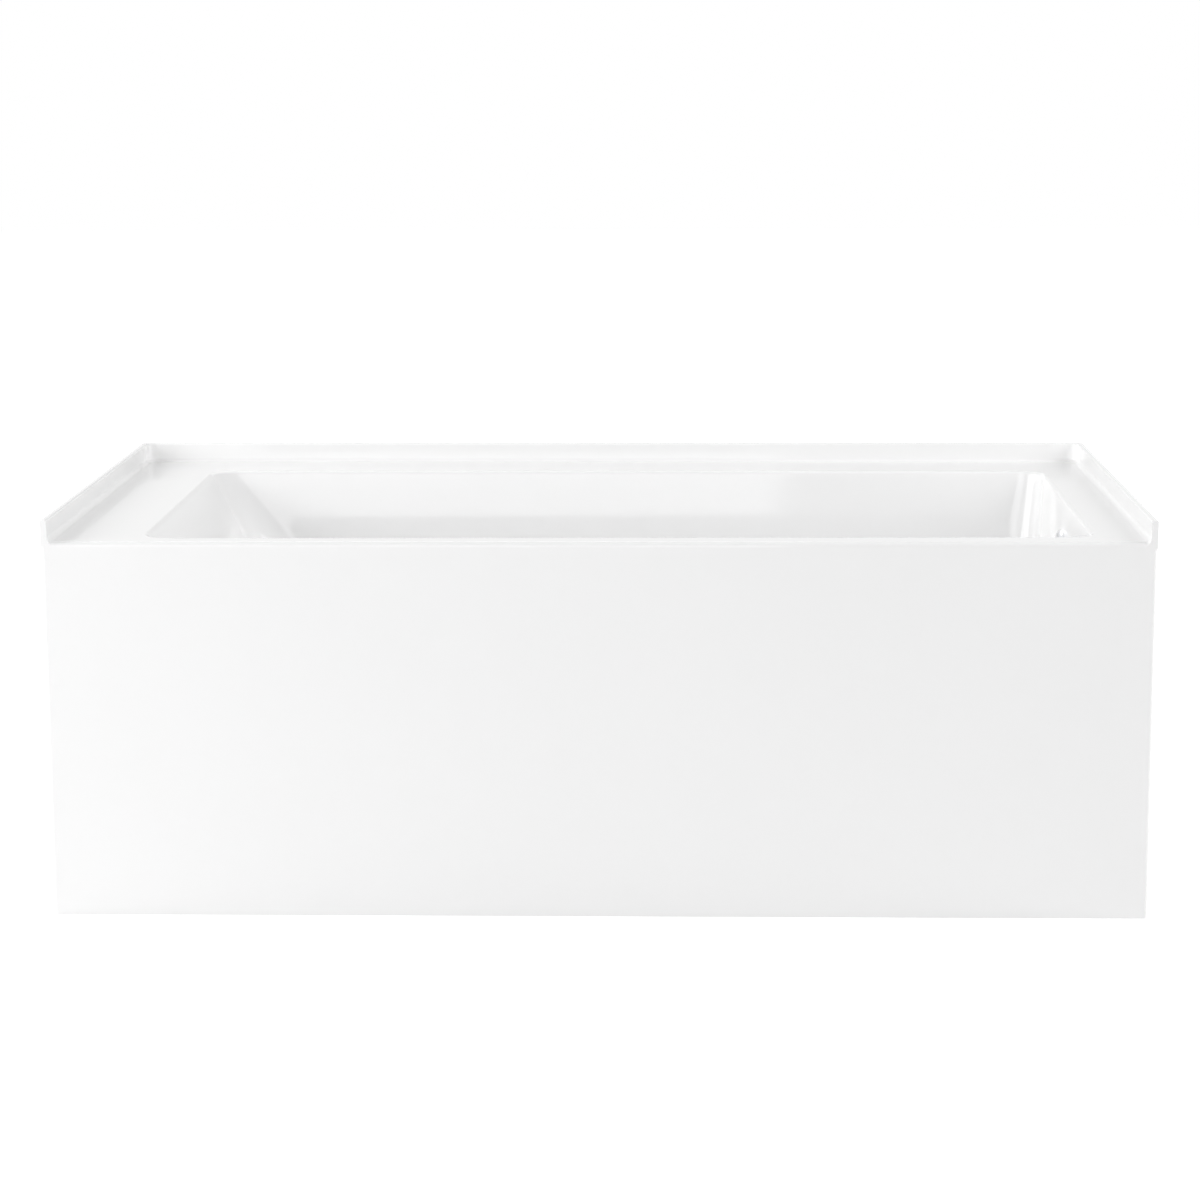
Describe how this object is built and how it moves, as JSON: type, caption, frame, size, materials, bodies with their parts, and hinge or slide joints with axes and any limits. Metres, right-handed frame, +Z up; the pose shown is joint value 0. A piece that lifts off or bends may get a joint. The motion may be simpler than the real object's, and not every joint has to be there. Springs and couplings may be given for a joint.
{
  "type": "alcove bathtub",
  "caption": "Rectangular white acrylic tub for a three-walled recess: flat deck, upturned tile flange, flat front apron, drain and overflow at the right-hand end.",
  "frame": {"origin": "on the floor, in the middle of the length and of the depth", "axes": "+X along the length towards the drain end, apron faces -Y, +Z up"},
  "size_m": [1.524, 0.813, 0.559],
  "materials": {
    "white_acrylic": "high gloss",
    "glass_fibre_laminate": "rough chopped-strand laminate",
    "resin_coated_board": "resin-sealed",
    "softwood": "sawn",
    "galvanised_steel": "galvanised",
    "zinc_screw": "zinc plated",
    "zinc_nut": "zinc plated",
    "zinc_stud": "zinc plated thread",
    "polished_chrome": "mirror polished",
    "brass": "turned",
    "black_plastic": "moulded",
    "black_fitting": "moulded waste fitting",
    "white_pipe": "extruded pipe",
    "clear_washer": "soft plastic",
    "black_rubber": "moulded rubber",
    "white_foam": "closed-cell foam"
  },
  "bodies": {
    "tub": {"tub_shell": "white_acrylic", "shell_backing": "glass_fibre_laminate", "base_board": "resin_coated_board", "left_rim_batten": "softwood", "right_rim_batten": "softwood", "back_rim_batten": "softwood", "apron_panel": "white_acrylic", "apron_top_batten": "softwood", "apron_screws": "zinc_screw", "apron_foot_angle": "galvanised_steel", "apron_stiffener_left": "softwood", "apron_tie_left": "galvanised_steel", "cross_member_left": "galvanised_steel", "apron_stiffener_middle": "softwood", "apron_tie_middle": "galvanised_steel", "cross_member_middle": "galvanised_steel", "apron_stiffener_right": "softwood", "apron_tie_right": "galvanised_steel", "cross_member_right": "galvanised_steel", "tie_screws": "zinc_screw", "front_rail": "galvanised_steel", "back_rail": "galvanised_steel", "board_screws": "zinc_screw", "tube_plugs": "black_plastic", "frame_nuts": "zinc_nut", "lock_nuts": "zinc_nut", "drain_body": "polished_chrome", "drain_seal": "white_foam", "drain_gasket": "black_rubber", "drain_shoe": "black_fitting", "slip_washers": "clear_washer", "slip_nuts": "black_fitting", "waste_pipe": "white_pipe", "waste_tee": "black_fitting", "tail_pipe": "white_pipe", "overflow_tube": "white_pipe", "overflow_elbow": "black_fitting", "overflow_gasket": "black_rubber", "overflow_plate": "polished_chrome", "overflow_screws": "polished_chrome", "stopper_cartridge": "brass"},
    "stopper": {"stopper_cap": "polished_chrome", "stopper_seal": "black_rubber", "stopper_stem": "brass"},
    "foot_front_left": {"foot_pad_front_left": "black_plastic"},
    "screw_front_left": {"foot_stud_front_left": "zinc_stud"},
    "foot_front_middle": {"foot_pad_front_middle": "black_plastic"},
    "screw_front_middle": {"foot_stud_front_middle": "zinc_stud"},
    "foot_front_right": {"foot_pad_front_right": "black_plastic"},
    "screw_front_right": {"foot_stud_front_right": "zinc_stud"},
    "foot_back_left": {"foot_pad_back_left": "black_plastic"},
    "screw_back_left": {"foot_stud_back_left": "zinc_stud"},
    "foot_back_middle": {"foot_pad_back_middle": "black_plastic"},
    "screw_back_middle": {"foot_stud_back_middle": "zinc_stud"},
    "foot_back_right": {"foot_pad_back_right": "black_plastic"},
    "screw_back_right": {"foot_stud_back_right": "zinc_stud"}
  },
  "joints": [
    {"name": "stopper_press", "type": "slide", "parent": "tub", "child": "stopper", "axis": [0, 0, 1], "range_m": [-0.0072, 0], "stiffness_N_per_m": 400, "springref_m": 0.012},
    {"name": "level_front_left", "type": "slide", "parent": "tub", "child": "foot_front_left", "axis": [0, 0, -1], "range_m": [-0.008, 0.015]},
    {"name": "turn_front_left", "type": "hinge", "parent": "foot_front_left", "child": "screw_front_left", "pos_m": [-0.52, -0.29, 0.005], "axis": [0, 0, -1], "range_deg": [-1647, 3087]},
    {"name": "level_front_middle", "type": "slide", "parent": "tub", "child": "foot_front_middle", "axis": [0, 0, -1], "range_m": [-0.008, 0.015]},
    {"name": "turn_front_middle", "type": "hinge", "parent": "foot_front_middle", "child": "screw_front_middle", "pos_m": [0, -0.29, 0.005], "axis": [0, 0, -1], "range_deg": [-1647, 3087]},
    {"name": "level_front_right", "type": "slide", "parent": "tub", "child": "foot_front_right", "axis": [0, 0, -1], "range_m": [-0.008, 0.015]},
    {"name": "turn_front_right", "type": "hinge", "parent": "foot_front_right", "child": "screw_front_right", "pos_m": [0.6, -0.29, 0.005], "axis": [0, 0, -1], "range_deg": [-1647, 3087]},
    {"name": "level_back_left", "type": "slide", "parent": "tub", "child": "foot_back_left", "axis": [0, 0, -1], "range_m": [-0.008, 0.015]},
    {"name": "turn_back_left", "type": "hinge", "parent": "foot_back_left", "child": "screw_back_left", "pos_m": [-0.52, 0.215, 0.005], "axis": [0, 0, -1], "range_deg": [-1647, 3087]},
    {"name": "level_back_middle", "type": "slide", "parent": "tub", "child": "foot_back_middle", "axis": [0, 0, -1], "range_m": [-0.008, 0.015]},
    {"name": "turn_back_middle", "type": "hinge", "parent": "foot_back_middle", "child": "screw_back_middle", "pos_m": [0, 0.215, 0.005], "axis": [0, 0, -1], "range_deg": [-1647, 3087]},
    {"name": "level_back_right", "type": "slide", "parent": "tub", "child": "foot_back_right", "axis": [0, 0, -1], "range_m": [-0.008, 0.015]},
    {"name": "turn_back_right", "type": "hinge", "parent": "foot_back_right", "child": "screw_back_right", "pos_m": [0.6, 0.215, 0.005], "axis": [0, 0, -1], "range_deg": [-1647, 3087]}
  ],
  "couplings": [
    {"joint": "turn_front_left", "follows": "level_front_left", "rad_per_m": 3590.4},
    {"joint": "turn_front_middle", "follows": "level_front_middle", "rad_per_m": 3590.4},
    {"joint": "turn_front_right", "follows": "level_front_right", "rad_per_m": 3590.4},
    {"joint": "turn_back_left", "follows": "level_back_left", "rad_per_m": 3590.4},
    {"joint": "turn_back_middle", "follows": "level_back_middle", "rad_per_m": 3590.4},
    {"joint": "turn_back_right", "follows": "level_back_right", "rad_per_m": 3590.4}
  ]
}
